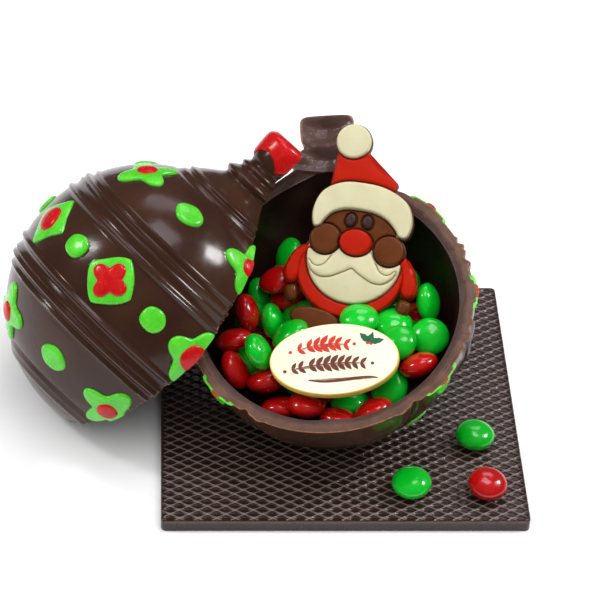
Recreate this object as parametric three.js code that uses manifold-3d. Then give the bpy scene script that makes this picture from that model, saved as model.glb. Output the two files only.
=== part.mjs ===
// A hollow chocolate bauble opened into two halves on an embossed chocolate slab, in millimetres, +Z up.
// The origin is the middle of the slab's underside; -Y faces the viewer.
// One half lies as a bowl of sugar-coated candies with a plaque and a moulded figure, the other leans on it.
import * as THREE from 'three';
import { mergeVertices } from 'three/addons/utils/BufferGeometryUtils.js';
import Module from 'manifold-3d';

const wasm = await Module();
wasm.setup();

// Driving dimensions
const slab = { side: 120, thick: 4.35, cellX: 6, cellY: 3.75, pitDepth: 0.9 };
const shell = { radius: 47.55, wall: 4.8, segments: 32, rimTrim: 0.3 };
const ring = { inner: 13, outer: 18.5, height: 0.9, halfWidth: 1.3, crest: 0.5 };
const footRing = { at: -41.5, groove: -38.7, depth: 0.8 };
const neck = { flareAt: 41.5, waistAt: 59.8, waistRadius: 7.4, tipRadius: 8.6, end: 72.4 };
const neckRing = { first: 53.2, apart: 2.2, count: 3, radius: 11.8, taper: 0.9, groove: 1.1 };
const ornamentHeight = { edge: 0.9, centre: 2.1, root: 1.6 };
const star = { tip: 10.6, valley: 6.4 };
const square = { side: 16.7, reach: 10.6 };
const dot = { long: 5.4, short: 4.1 };
const candy = { radius: 6.75, halfThick: 3.95 };
const heap = { level: -15.5, slope: -12 };
const plaque = { halfWidth: 21, halfDepth: 12.9, thick: 3.2, edge: 0.5, at: [1.7, -21.3, 0.5] };
const figure = { backThick: 3.2, headTilt: -11.5, recline: 19.4, at: [9.3, 22.55, -3.1] };
const gap = 0.35; // between pieces that touch
const finest = 0.03; // shorter edges are taken out

// Each half lies in its own frame: x across, y along the axis to the neck, z out of the open side.
const bowlPose = {
  centre: [-5.68, -7.42, 53.15],
  right: [0.9876, -0.0758, 0.1367],
  toNeck: [0.0203, 0.9292, 0.3689],
};
const lidPose = {
  centre: [-64.7, 15.9, 32.25],
  right: [-0.303, 0.9177, -0.2571],
  toNeck: [0.6732, 0.3971, 0.6238],
};

function frameOf({ centre, right, toNeck }) {
  const y = new THREE.Vector3(...toNeck).normalize();
  const x = new THREE.Vector3(...right);
  x.addScaledVector(y, -x.dot(y)).normalize();
  const z = new THREE.Vector3().crossVectors(x, y);
  return new THREE.Matrix4().makeBasis(x, y, z).setPosition(...centre);
}

const bowlFrame = frameOf(bowlPose);
const lidFrame = frameOf(lidPose);

// Solids: each helper returns a manifold-3d solid.
function solidOf(geometry) {
  const bare = geometry.index ? geometry.clone() : geometry;
  bare.deleteAttribute('normal');
  bare.deleteAttribute('uv');
  const merged = mergeVertices(bare, 1e-4);
  return new wasm.Manifold(new wasm.Mesh({
    numProp: 3,
    vertProperties: merged.attributes.position.array,
    triVerts: new Uint32Array(merged.index.array),
  }));
}

function union(solids) {
  return wasm.Manifold.union(solids);
}

function largestPiece(solid) {
  const pieces = solid.decompose();
  return pieces.reduce((best, piece) => (piece.volume() > best.volume() ? piece : best));
}

function meshOf(name, solid, colour, roughness) {
  const { vertProperties, triVerts } = largestPiece(solid).asOriginal().simplify(finest).getMesh();
  const geometry = new THREE.BufferGeometry();
  geometry.setAttribute('position', new THREE.BufferAttribute(new Float32Array(vertProperties), 3));
  geometry.setIndex(new THREE.BufferAttribute(new Uint32Array(triVerts), 1));
  geometry.computeVertexNormals();
  const material = new THREE.MeshStandardMaterial({ color: colour, roughness, metalness: 0 });
  const mesh = new THREE.Mesh(geometry, material);
  mesh.name = name;
  return mesh;
}

function placed(solid, frame) {
  return solid.transform(frame.elements);
}

// The first corner is half a step round, so that no corner lies near the plane that opens the bauble.
function turned(profile, segments) {
  const points = profile.map(([radius, height]) => new THREE.Vector2(radius, height));
  return solidOf(new THREE.LatheGeometry(points, segments, Math.PI / segments));
}

function extruded(shape, from, to, curveSegments = 6) {
  const geometry = new THREE.ExtrudeGeometry(shape, {
    depth: to - from,
    bevelEnabled: false,
    curveSegments,
  });
  return solidOf(geometry.translate(0, 0, from));
}

function ellipse(x, y, radiusX, radiusY, turn = 0) {
  const shape = new THREE.Shape();
  shape.absellipse(x, y, radiusX, radiusY, 0, Math.PI * 2, false, turn);
  return shape;
}

// The slab: a top of staggered diamond pits between raised ribs, straight sides and a flat underside.
function slabSolid() {
  const columns = 2 * Math.round(slab.side / slab.cellX);
  const rows = 2 * Math.round(slab.side / slab.cellY);
  const half = slab.side / 2;
  const positions = [];
  const faces = [];
  const onEdge = (i, j) => i === 0 || j === 0 || i === columns || j === rows;
  const vertex = (i, j) => j * (columns + 1) + i;
  for (let j = 0; j <= rows; j += 1) {
    for (let i = 0; i <= columns; i += 1) {
      const sunk = (i + j) % 2 === 0 && !onEdge(i, j);
      const height = slab.thick - (sunk ? slab.pitDepth : 0);
      positions.push(-half + (slab.side * i) / columns, -half + (slab.side * j) / rows, height);
    }
  }
  for (let j = 0; j < rows; j += 1) {
    for (let i = 0; i < columns; i += 1) {
      const corners = [vertex(i, j), vertex(i + 1, j), vertex(i + 1, j + 1), vertex(i, j + 1)];
      const first = (i + j) % 2 === 0 ? 1 : 0;
      const at = (k) => corners[(first + k) % 4];
      faces.push(at(0), at(1), at(2), at(0), at(2), at(3));
    }
  }
  const foot = positions.length / 3;
  positions.push(-half, -half, 0, half, -half, 0, half, half, 0, -half, half, 0);
  faces.push(foot, foot + 2, foot + 1, foot, foot + 3, foot + 2);
  const side = (steps, at, near, far) => {
    for (let k = 0; k < steps; k += 1) {
      faces.push(at(k + 1), at(k), near);
    }
    faces.push(far, at(steps), near);
  };
  side(columns, (k) => vertex(k, 0), foot, foot + 1);
  side(rows, (k) => vertex(columns, k), foot + 1, foot + 2);
  side(columns, (k) => vertex(columns - k, rows), foot + 2, foot + 3);
  side(rows, (k) => vertex(0, rows - k), foot + 3, foot);
  const geometry = new THREE.BufferGeometry();
  geometry.setAttribute('position', new THREE.Float32BufferAttribute(positions, 3));
  geometry.setIndex(faces);
  return solidOf(geometry);
}

// The turned outline of a whole bauble, as [radius, height] from the round end to the neck's tip.
function sphereRadius(height, radius = shell.radius) {
  return Math.sqrt(Math.max(radius * radius - height * height, 0));
}

function ridge(at, height = ring.height) {
  return [-ring.halfWidth, -ring.crest, ring.crest, ring.halfWidth].map((offset, index) => {
    const raised = index === 1 || index === 2 ? height : 0;
    return [sphereRadius(at + offset) + raised, at + offset];
  });
}

function arcOf(from, to, steps, radius = shell.radius) {
  return Array.from({ length: steps + 1 }, (_, k) => {
    const angle = THREE.MathUtils.lerp(Math.asin(from / radius), Math.asin(to / radius), k / steps);
    return [radius * Math.cos(angle), radius * Math.sin(angle)];
  });
}

function baubleProfile() {
  const neckRings = Array.from({ length: neckRing.count }, (_, index) => {
    const at = neckRing.first + index * neckRing.apart;
    const radius = neckRing.radius - index * neckRing.taper;
    const valley = radius - neckRing.groove;
    return [[valley, at - 0.9], [radius, at], [valley, at + 0.9]];
  }).flat();
  const { flareAt, waistAt, waistRadius, tipRadius, end } = neck;
  return [
    [0, -shell.radius],
    ...arcOf(-46.6, footRing.at - ring.halfWidth, 1),
    ...ridge(footRing.at, 0.6).slice(1, 3),
    [sphereRadius(footRing.groove) - footRing.depth, footRing.groove],
    ...arcOf(footRing.groove + 1.2, -ring.outer - ring.halfWidth, 3).slice(0, -1),
    ...ridge(-ring.outer),
    ...ridge(-ring.inner),
    ...arcOf(-ring.inner + ring.halfWidth, ring.inner - ring.halfWidth, 4).slice(1, -1),
    ...ridge(ring.inner),
    ...ridge(ring.outer),
    ...arcOf(ring.outer + ring.halfWidth, flareAt - ring.halfWidth, 3).slice(1),
    [sphereRadius(flareAt) + 0.5, flareAt],
    [21, flareAt + 1.8],
    [19, flareAt + 4.3],
    [15.8, flareAt + 7],
    [12.9, flareAt + 9],
    ...neckRings,
    [waistRadius, waistAt],
    [tipRadius - 0.5, waistAt + 1.3],
    [tipRadius, waistAt + 6],
    [tipRadius - 0.2, end - 1.2],
    [tipRadius - 1.1, end],
    [0, end],
  ];
}

function cavityProfile(shrink = 0) {
  const radius = shell.radius - shell.wall - shrink;
  return [
    [0, -radius],
    ...arcOf(-0.97 * radius, 34, 8, radius),
    [22.6 - shrink, 38],
    [18.6 - shrink, 41.5],
    [13.2 - shrink, 45.3],
    [9 - shrink, 48.4],
    [4.5 - shrink, 51 - shrink],
    [0, 51.6 - shrink],
  ];
}

// Ornaments: low domes with a drawn outline, wrapped round the sphere.
function starRadius(angle) {
  return star.valley + (star.tip - star.valley) * Math.cos(2 * angle) ** 2;
}

function squareRadius(angle) {
  const fromSide = angle + Math.PI / 4;
  const slant = Math.max(Math.abs(Math.cos(fromSide)), Math.abs(Math.sin(fromSide)));
  return Math.min(square.side / 2 / slant, square.reach);
}

function dotRadius(angle) {
  return 1 / Math.hypot(Math.cos(angle) / dot.short, Math.sin(angle) / dot.long);
}

function ornament(outline, points, around, along) {
  const rings = [
    [1, -ornamentHeight.root],
    [1, ornamentHeight.edge],
  ];
  const positions = [];
  const place = (x, y, height) => {
    const latitude = Math.asin(along / shell.radius) + y / shell.radius;
    const longitude = around + x / (shell.radius * Math.cos(latitude));
    const r = shell.radius + height;
    const across = r * Math.cos(latitude);
    positions.push(across * Math.cos(longitude), r * Math.sin(latitude), -across * Math.sin(longitude));
  };
  for (const [scale, height] of rings) {
    for (let k = 0; k < points; k += 1) {
      const angle = (2 * Math.PI * k) / points;
      const reach = scale * outline(angle);
      place(reach * Math.cos(angle), reach * Math.sin(angle), height);
    }
  }
  place(0, 0, -ornamentHeight.root);
  place(0, 0, ornamentHeight.centre);
  const root = rings.length * points;
  const faces = [];
  for (let k = 0; k < points; k += 1) {
    const next = (k + 1) % points;
    faces.push(root, next, k);
    for (let r = 0; r < rings.length - 1; r += 1) {
      const a = r * points + k;
      const b = r * points + next;
      faces.push(a, b, a + points, b, b + points, a + points);
    }
    faces.push(root - points + k, root - points + next, root + 1);
  }
  const geometry = new THREE.BufferGeometry();
  geometry.setAttribute('position', new THREE.Float32BufferAttribute(positions, 3));
  geometry.setIndex(faces);
  return solidOf(geometry);
}

function ornaments() {
  const solids = [];
  const add = (outline, points, degrees, along) => {
    solids.push(ornament(outline, points, THREE.MathUtils.degToRad(degrees), along));
  };
  for (const along of [30, 0, -29]) {
    for (const degrees of [0, 90, 180]) {
      add(starRadius, 8, degrees, along);
    }
    for (const degrees of [45, 135]) {
      if (along === 0) {
        add(squareRadius, 8, degrees, along);
      } else {
        add(dotRadius, 8, degrees, along);
      }
    }
  }
  for (const degrees of [22.5, 67.5, 112.5, 157.5]) {
    add(dotRadius, 8, degrees, 0);
  }
  return solids;
}

function halfShell() {
  const reach = 2 * neck.end;
  const openSide = solidOf(new THREE.BoxGeometry(reach, 2 * reach, reach))
    .translate([0, 0, reach / 2 - shell.rimTrim]);
  const whole = union([turned(baubleProfile(), shell.segments), ...ornaments()]);
  return whole.subtract(turned(cavityProfile(), shell.segments)).subtract(openSide);
}

// Candies in the bowl, hand-placed in its frame: centre, then the way the flat face looks.
const heapCandies = [
  { at: [-25.3, 15.5, -22.1], faces: [0.99, 0.07, 0.13] },
  { at: [-28, 3.4, -10.8], faces: [0.98, 0.14, 0.17] },
  { at: [-19.9, 1.5, -14.6], faces: [0.98, 0.1, 0.14] },
  { at: [-13.4, -7.3, -7.9], faces: [-0.46, 0.48, 0.75] },
  { at: [-32.2, -7.5, -9.2], faces: [-0.14, 0.77, 0.63] },
  { at: [-23.3, -15.4, -3.6], faces: [0.91, 0.21, 0.36] },
  { at: [-31.6, -18.8, -8.6], faces: [0.92, 0.23, 0.33] },
  { at: [-21.4, -23, -9.6], faces: [-0.11, 0.77, 0.63] },
  { at: [-18.2, -30.2, -11.9], faces: [0.03, 0.78, 0.62] },
  { at: [-7.7, -27.7, -9.3], faces: [0.17, 0.72, 0.67] },
  { at: [1.7, -35.9, -8.6], faces: [0.48, 0.7, 0.53] },
  { at: [13.5, -33.3, -7.9], faces: [-0.35, 0.71, 0.61] },
  { at: [18.5, -25.5, -14.4], faces: [-0.48, -0.08, 0.88] },
  { at: [4.9, -27.5, -18], faces: [0.09, 0.54, 0.84] },
  { at: [28.5, -20.5, -8.4], faces: [-0.27, 0.73, 0.62] },
  { at: [23.2, -13.1, -19.4], faces: [-0.49, 0.36, 0.79] },
  { at: [32.2, -8.6, -11.6], faces: [0.04, -0.15, 0.99] },
  { at: [21.7, -12.6, -7.4], faces: [-0.22, 0.1, 0.97] },
  { at: [21, -3.5, -14.9], faces: [0.1, 0.32, 0.94] },
  { at: [7.9, -1.2, -15.7], faces: [0.1, 0.37, 0.92] },
  { at: [32.1, 4.6, -12.4], faces: [0.98, -0.01, 0.19] },
  { at: [27.5, 5.1, -22.2], faces: [0.01, 0.54, 0.84] },
  { at: [-14.7, 27.7, -16.9], faces: [-0.82, 0, 0.57] },
  { at: [-17.8, 15.9, -11.8], faces: [-0.22, 0.5, 0.84] },
  { at: [-15.4, 12.8, -18.6], faces: [-0.24, 0.6, 0.76] },
];

// Candies that lie on the slab: where, the way the flat face looks, and their colour.
const looseCandies = [
  { at: [44.9, -22.8], faces: [0.05, 0.02, 1], colour: 0x0fb532 },
  { at: [21.9, -46], faces: [-0.05, -0.08, 1], colour: 0x0fb532 },
  { at: [46.9, -46.4], faces: [0.06, -0.12, 1], colour: 0xb40d10 },
];

function candySolid({ at, faces }, widthSegments = 9, heightSegments = 5) {
  const geometry = new THREE.SphereGeometry(1, widthSegments, heightSegments);
  geometry.scale(candy.radius, candy.halfThick, candy.radius);
  const towards = new THREE.Vector3(...faces).normalize();
  const turn = new THREE.Quaternion().setFromUnitVectors(new THREE.Vector3(0, 1, 0), towards);
  geometry.applyQuaternion(turn);
  return solidOf(geometry.translate(...at));
}

function heapSolid(keepClear) {
  const inside = turned(cavityProfile(gap), shell.segments);
  const reach = 2 * shell.radius;
  const above = solidOf(new THREE.BoxGeometry(reach, reach, reach))
    .rotate([heap.slope, 0, 0])
    .translate([0, 0, reach / 2 + heap.level]);
  const core = inside.subtract(above);
  const candies = heapCandies.map((one) => candySolid(one));
  return union([core, ...candies]).intersect(inside).subtract(keepClear);
}

// The plaque: an oval with softened edges, level with the bowl's rim.
function plaqueSolid(grow = 0) {
  const { halfWidth, halfDepth, thick, edge } = plaque;
  const r = halfWidth + grow;
  const profile = [
    [0, -thick - grow],
    [r - edge, -thick - grow],
    [r, edge - thick],
    [r, -edge],
    [r - edge, grow],
    [0, grow],
  ];
  const squash = (halfDepth + grow) / (halfWidth + grow);
  const oval = turned(profile, 40).rotate([90, 0, 0]).scale([1, squash, 1]);
  return oval.translate(plaque.at);
}

// The figure, drawn upright on its own face with the nose at the origin.
function leftAndRight(make) {
  return [-1, 1].map((side) => make(side));
}

function bandShape() {
  const shape = new THREE.Shape();
  shape.moveTo(-12.2, 6);
  shape.quadraticCurveTo(-8, 11, 0, 11);
  shape.quadraticCurveTo(8, 11, 12.2, 6);
  shape.quadraticCurveTo(14.3, 1.4, 16.6, 4.2);
  shape.quadraticCurveTo(19.4, 12.5, 12.5, 17.6);
  shape.quadraticCurveTo(0, 23, -12.5, 17.6);
  shape.quadraticCurveTo(-19.4, 12.5, -16.6, 4.2);
  shape.quadraticCurveTo(-14.3, 1.4, -12.2, 6);
  return shape;
}

function hatShape() {
  const shape = new THREE.Shape();
  shape.moveTo(-12, 16.8);
  shape.quadraticCurveTo(-11.8, 25, -11.2, 30);
  shape.lineTo(-1.6, 31);
  shape.quadraticCurveTo(2, 26, 9.5, 20.8);
  shape.lineTo(10.6, 18.5);
  shape.quadraticCurveTo(0, 21.5, -12, 16.8);
  return shape;
}

function moustacheShape() {
  const shape = new THREE.Shape();
  shape.moveTo(0, -8.8);
  shape.bezierCurveTo(4, -12.8, 11, -14.2, 14.2, -8);
  shape.quadraticCurveTo(9, -8.6, 6.4, -2.4);
  shape.quadraticCurveTo(0, -5.8, -6.4, -2.4);
  shape.quadraticCurveTo(-9, -8.6, -14.2, -8);
  shape.bezierCurveTo(-11, -14.2, -4, -12.8, 0, -8.8);
  return shape;
}

function figureFields() {
  return [
    [bandShape(), 5.6],
    [hatShape(), 4.6],
    [ellipse(-7.2, 33.8, 5.9, 5.9), 5.8],
    [ellipse(0, 4, 12.5, 8.6), 4.2],
    [ellipse(0, -4.6, 15.9, 15.8), 5],
    [ellipse(0, -9.5, 18, 15.7), 4.2],
    [moustacheShape(), 5.7],
    [ellipse(0, 0, 5.5, 4.5), 6.8],
    ...leftAndRight((side) => [ellipse(side * 11.1, -0.7, 5.2, 5.1), 6]),
    ...leftAndRight((side) => [ellipse(side * 2.8, 7.3, 1.8, 2.3), 4.8]),
    ...leftAndRight((side) => [ellipse(side * 19.6, -8.6, 2.6, 6.4, side * -0.12), 4.6]),
    ...leftAndRight((side) => [ellipse(side * 18.3, -17.6, 2.3, 2.9), 4.2]),
    ...leftAndRight((side) => [ellipse(side * 9.4, -27.3, 8.6, 4, side * 0.12), 5.2]),
  ];
}

function figureSolid(grow = 0) {
  const radians = THREE.MathUtils.degToRad;
  const frame = new THREE.Matrix4().makeTranslation(...figure.at)
    .multiply(new THREE.Matrix4().makeRotationX(radians(figure.recline)))
    .multiply(new THREE.Matrix4().makeRotationZ(radians(figure.headTilt)));
  const body = [
    extruded(ellipse(0, -10, 20.9 + grow, 14.6 + grow), -grow, figure.backThick + grow, 10),
    extruded(ellipse(0, 6, 16.4 + grow, 12.4 + grow), -grow, figure.backThick + grow, 10),
  ];
  const fields = figureFields().map(([shape, height]) => {
    const field = extruded(shape, -grow, height + grow);
    return grow > 0 ? field.scale([1 + grow / 12, 1 + grow / 12, 1]) : field;
  });
  return placed(union([...body, ...fields]), frame);
}

// Assembly
const chocolate = 0x3a2620;
const group = new THREE.Group();
group.add(meshOf('chocolate_slab', slabSolid(), chocolate, 0.35));

const half = halfShell();
group.add(meshOf('bowl_half', placed(half, bowlFrame), chocolate, 0.3));
group.add(meshOf('lid_half', placed(half, lidFrame), chocolate, 0.3));

const figureInBowl = figureSolid();
const plaqueInBowl = plaqueSolid();
const clearOf = union([figureSolid(gap), plaqueSolid(gap)]);
group.add(meshOf('candy_heap', placed(heapSolid(clearOf), bowlFrame), 0x0a9e28, 0.3));
group.add(meshOf('plaque', placed(plaqueInBowl, bowlFrame), 0xfdf6e4, 0.5));
group.add(meshOf('bearded_figure', placed(figureInBowl, bowlFrame), 0xd22c10, 0.5));

looseCandies.forEach(({ at, faces, colour }, index) => {
  const resting = { at: [...at, slab.thick + candy.halfThick + gap], faces };
  group.add(meshOf(`loose_candy_${index + 1}`, candySolid(resting, 14, 9), colour, 0.25));
});

export default group;
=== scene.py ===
# A hollow dark chocolate bauble, opened on an embossed chocolate slab.
# Shapes are worked out in millimetres, each half in its own frame, and scaled to metres when a piece is made.
from math import asin, cos, pi, radians, sin, tau

import bmesh
import bpy
import numpy as np
from mathutils import Matrix, Vector, noise
from mathutils.geometry import delaunay_2d_cdt


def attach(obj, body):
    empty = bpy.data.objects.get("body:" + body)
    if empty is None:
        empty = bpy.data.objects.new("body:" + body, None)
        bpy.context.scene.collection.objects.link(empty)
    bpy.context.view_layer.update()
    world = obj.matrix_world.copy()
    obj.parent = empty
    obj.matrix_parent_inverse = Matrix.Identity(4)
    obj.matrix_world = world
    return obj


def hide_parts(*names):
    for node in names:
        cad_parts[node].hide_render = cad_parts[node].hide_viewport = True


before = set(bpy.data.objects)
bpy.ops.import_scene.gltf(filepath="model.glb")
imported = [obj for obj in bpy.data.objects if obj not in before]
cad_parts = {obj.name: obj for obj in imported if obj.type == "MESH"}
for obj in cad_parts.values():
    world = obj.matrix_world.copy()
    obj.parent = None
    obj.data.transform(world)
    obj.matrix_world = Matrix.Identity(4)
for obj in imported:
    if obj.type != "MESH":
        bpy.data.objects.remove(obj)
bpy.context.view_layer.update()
print("frame loaded:", len(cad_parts), "nodes")

mm = 0.001
weld = 0.000002  # metres between points that are one

bowlPose = {
    "centre": (-5.68, -7.42, 53.15), "right": (0.9876, -0.0758, 0.1367), "toNeck": (0.0203, 0.9292, 0.3689),
}
lidPose = {
    "centre": (-64.7, 15.9, 32.25), "right": (-0.303, 0.9177, -0.2571), "toNeck": (0.6732, 0.3971, 0.6238),
}


# Small tools

def frameOf(pose):  # x across, y along the axis to the neck, z out of the open side
    y = Vector(pose["toNeck"]).normalized()
    x = Vector(pose["right"])
    x = (x - x.dot(y) * y).normalized()
    place = Matrix((x, y, x.cross(y))).transposed().to_4x4()
    place.translation = Vector(pose["centre"])
    return place


bowlFrame = frameOf(bowlPose)


def smooth(value, low=0.0, high=1.0):  # 0 below low, 1 above high, eased between
    t = np.clip((np.asarray(value, float) - low) / (high - low), 0, 1)
    return t * t * (3 - 2 * t)


def smoothLine(points, steps=6, closed=False):  # a curve through the points; a doubled point is a corner
    points = np.array(points, float)
    count = len(points)
    spans = count if closed else count - 1
    at = (lambda k: points[k % count]) if closed else (lambda k: points[min(max(k, 0), count - 1)])
    line = []
    for k in range(spans):
        before, start, end, after = at(k - 1), at(k), at(k + 1), at(k + 2)
        if np.allclose(start, end):
            continue
        out = (end - before) / 2
        back = (after - start) / 2
        for t in np.arange(steps) / steps:
            line.append((2 * t**3 - 3 * t**2 + 1) * start + (t**3 - 2 * t**2 + t) * out
                        + (3 * t**2 - 2 * t**3) * end + (t**3 - t**2) * back)
    if not closed:
        line.append(points[-1])
    return np.array(line)


def oval(x, y, radiusX, radiusY, turn=0.0, steps=64):
    angle = np.arange(steps) * tau / steps
    across = radiusX * np.cos(angle)
    up = radiusY * np.sin(angle)
    return np.stack([x + across * cos(turn) - up * sin(turn), y + across * sin(turn) + up * cos(turn)], 1)


def grownOutline(outline, amount):
    ahead = np.roll(outline, -1, 0) - np.roll(outline, 1, 0)
    normal = np.stack([ahead[:, 1], -ahead[:, 0]], 1) / np.linalg.norm(ahead, axis=1)[:, None]
    return outline + normal * amount


def addNode(tree, kind, inputs=None, **settings):
    node = tree.nodes.new(kind)
    for name, value in settings.items():
        setattr(node, name, value)
    for socket, value in (inputs or {}).items():
        if isinstance(value, bpy.types.NodeSocket):
            tree.links.new(value, node.inputs[socket])
        else:
            node.inputs[socket].default_value = value
    return node


def maths(tree, operation, *values):  # what one maths node makes of its values
    return addNode(tree, "ShaderNodeMath", dict(enumerate(values)), operation=operation).outputs[0]


def newTree(name, numbers):  # a node tree that takes a mesh and named numbers, and gives a mesh
    tree = bpy.data.node_groups.new(name, "GeometryNodeTree")
    for way in ("OUTPUT", "INPUT"):
        tree.interface.new_socket("Geometry", in_out=way, socket_type="NodeSocketGeometry")
    for label, kind in numbers.items():
        tree.interface.new_socket(label, in_out="INPUT", socket_type="NodeSocket" + kind)
    return tree, addNode(tree, "NodeGroupInput").outputs


def linear(colour):  # sRGB hex to the linear values that a shader takes
    channels = [int(colour[k:k + 2], 16) / 255 for k in (0, 2, 4)]
    return [c / 12.92 if c <= 0.04045 else ((c + 0.055) / 1.055) ** 2.4 for c in channels] + [1]


def addPiece(name, mesh, materials=(), replaced=(), sharp=38):
    shape = bmesh.new()
    shape.from_mesh(mesh)
    bmesh.ops.remove_doubles(shape, verts=shape.verts, dist=weld)
    bmesh.ops.recalc_face_normals(shape, faces=shape.faces)
    for face in shape.faces:
        face.smooth = True
    shape.to_mesh(mesh)
    shape.free()
    for material in materials:
        mesh.materials.append(material)
    mesh.set_sharp_from_angle(angle=radians(sharp))
    piece = bpy.data.objects.new(name, mesh)
    bpy.context.scene.collection.objects.link(piece)
    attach(piece, "root")
    if replaced:
        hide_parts(*replaced)
    print("made", name, len(mesh.polygons), "faces")
    return piece


# A piece while it is put together, in millimetres: each point has a mark, each face a material's number
class Shape:
    def __init__(self):
        self.points = []
        self.faces = []
        self.finishes = []
        self.marks = []

    def add(self, points, faces, finish=0, marks=None):
        start = len(self.points)
        self.points.extend(map(tuple, points))
        self.faces.extend(tuple(start + k for k in face) for face in faces)
        self.finishes.extend([finish] * len(faces))
        self.marks.extend([0.0] * len(points) if marks is None else list(marks))

    def grid(self, sheet, finish=0, marks=None, wrap=False):
        rows, columns = sheet.shape[:2]
        across = columns if wrap else columns - 1
        faces = [(i * columns + j, i * columns + (j + 1) % columns,
                  (i + 1) * columns + (j + 1) % columns, (i + 1) * columns + j)
                 for i in range(rows - 1) for j in range(across)]
        flat = None if marks is None else np.asarray(marks).reshape(-1)
        self.add(sheet.reshape(-1, 3), faces, finish, flat)

    def mesh(self, name, place, mark=None):
        mesh = bpy.data.meshes.new(name)
        mesh.from_pydata(self.points, [], self.faces)
        mesh.polygons.foreach_set("material_index", self.finishes)
        if mark:
            values = np.array(self.marks, np.float32)
            mesh.attributes.new(mark, "FLOAT", "POINT").data.foreach_set("value", values)
        mesh.transform(Matrix.Scale(mm, 4) @ place)
        return mesh


# Materials: a cloudy colour, a fine grain that varies the gloss and the relief, and zones of another colour
# where a mark on the mesh lies between two values. Sizes are in millimetres.

noiseSpan = {"clouds": (0.36, 0.66), "grain": (0.3, 0.7)}  # the part of each noise's values that is used


def foodMaterial(name, look, zones=()):
    material = bpy.data.materials.new(name)
    material.use_nodes = True
    tree = material.node_tree
    tree.nodes.clear()
    where = addNode(tree, "ShaderNodeTexCoord").outputs["Object"]
    clouds = addNode(tree, "ShaderNodeTexNoise", {
        "Vector": where, "Scale": 1 / (look["cloud"] * mm), "Detail": 3})
    grainScale = 1 / (look["grain"] * mm)
    grainPlace = where
    if "strands" in look:  # the grain is drawn out along the rim and kept fine across it
        mark = addNode(tree, "ShaderNodeAttribute", attribute_name="across")
        across = addNode(tree, "ShaderNodeVectorMath", {0: mark.outputs["Vector"], 1: (look["strands"],) * 3},
                         operation="MULTIPLY")
        drawn = addNode(tree, "ShaderNodeVectorMath", {
            0: where, 1: (grainScale,) * 3, 2: across.outputs[0]}, operation="MULTIPLY_ADD")
        grainPlace = drawn.outputs[0]
        grainScale = 1.0
    grain = addNode(tree, "ShaderNodeTexNoise", {"Vector": grainPlace, "Scale": grainScale, "Detail": 5})
    low, high = noiseSpan["clouds"]
    cloudy = addNode(tree, "ShaderNodeMapRange", {
        "Value": clouds.outputs["Fac"], "From Min": low, "From Max": high})
    colour = addNode(tree, "ShaderNodeMix", {
        0: cloudy.outputs["Result"], 6: linear(look["colour"]), 7: linear(look["patch"])}, data_type="RGBA")
    for zone in zones:
        mark = addNode(tree, "ShaderNodeAttribute", attribute_name=zone["mark"])
        ragged = maths(tree, "MULTIPLY_ADD", grain.outputs["Fac"], zone.get("ragged", 0.0), mark.outputs["Fac"])
        share = addNode(tree, "ShaderNodeMapRange", {
            "Value": ragged, "From Min": zone["from"], "From Max": zone["to"],
            "To Min": zone.get("least", 0.0), "To Max": zone.get("most", 1.0)})
        colour = addNode(tree, "ShaderNodeMix", {
            0: share.outputs["Result"], 6: colour.outputs[2], 7: linear(zone["colour"])}, data_type="RGBA")
    low, high = noiseSpan["grain"]
    smoothest, roughest = look["roughness"]
    rough = addNode(tree, "ShaderNodeMapRange", {
        "Value": grain.outputs["Fac"], "From Min": low, "From Max": high,
        "To Min": smoothest, "To Max": roughest})
    waves = addNode(tree, "ShaderNodeBump", {
        "Height": clouds.outputs["Fac"], "Distance": look.get("wave", 0.0) * mm, "Strength": 1.0})
    relief = addNode(tree, "ShaderNodeBump", {
        "Height": grain.outputs["Fac"], "Distance": look["relief"] * mm, "Normal": waves.outputs["Normal"]})
    shader = addNode(tree, "ShaderNodeBsdfPrincipled", {
        "Base Color": colour.outputs[2], "Roughness": rough.outputs["Result"], "Normal": relief.outputs["Normal"],
        "IOR": look.get("ior", 1.46), "Specular IOR Level": look.get("specular", 0.5),
        "Coat Weight": look.get("coat", 0.0), "Coat Roughness": look.get("coatRoughness", 0.1),
        "Subsurface Weight": look.get("glow", 0.0), "Subsurface Radius": (1.0, 0.5, 0.3),
        "Subsurface Scale": 1.2 * mm})
    addNode(tree, "ShaderNodeOutputMaterial", {"Surface": shader.outputs["BSDF"]})
    return material


# tempered dark chocolate that set against a polished mould: near black, a clear gloss, a paler broken edge
mouldedChocolate = foodMaterial("temperedDarkChocolate", {
    "colour": "311C13", "patch": "3B2519", "cloud": 22, "wave": 0.5, "grain": 3, "relief": 0.004,
    "roughness": (0.16, 0.23), "coat": 0.08, "coatRoughness": 0.08, "specular": 0.34}, [
    {"mark": "across", "from": -0.1, "to": -0.6, "ragged": 0.4, "colour": "96704E", "most": 0.85}])
# the same chocolate broken and scraped at the rim: paler brown, dull, with a golden crumbly edge and a smooth lip,
# painted darker and faintly lilac towards the hollow as painted shade and a painted reflection
rimChocolate = foodMaterial("scrapedDarkChocolate", {
    "colour": "543A30", "patch": "664839", "cloud": 5, "wave": 0.3, "grain": 6, "strands": 11, "relief": 0.3,
    "roughness": (0.34, 0.52)}, [
    # painted shade and painted reflection: darker, faintly lilac where the lip turns into the hollow
    {"mark": "across", "from": 0.6, "to": 1.0, "ragged": 0.2, "colour": "3E2C28"},
    {"mark": "across", "from": 0.13, "to": 0.06, "ragged": 0.12, "colour": "A06E38", "most": 0.85}])
# the same where it is solid, at the neck and the tip: smooth, as it settled
neckChocolate = foodMaterial("settledDarkChocolate", {
    "colour": "44302A", "patch": "4E3831", "cloud": 7, "wave": 1.2, "grain": 2, "relief": 0.02,
    "roughness": (0.26, 0.36)}, [
    {"mark": "across", "from": 0.1, "to": 0.03, "ragged": 0.1, "colour": "8A5C34", "most": 0.85}])
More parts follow.
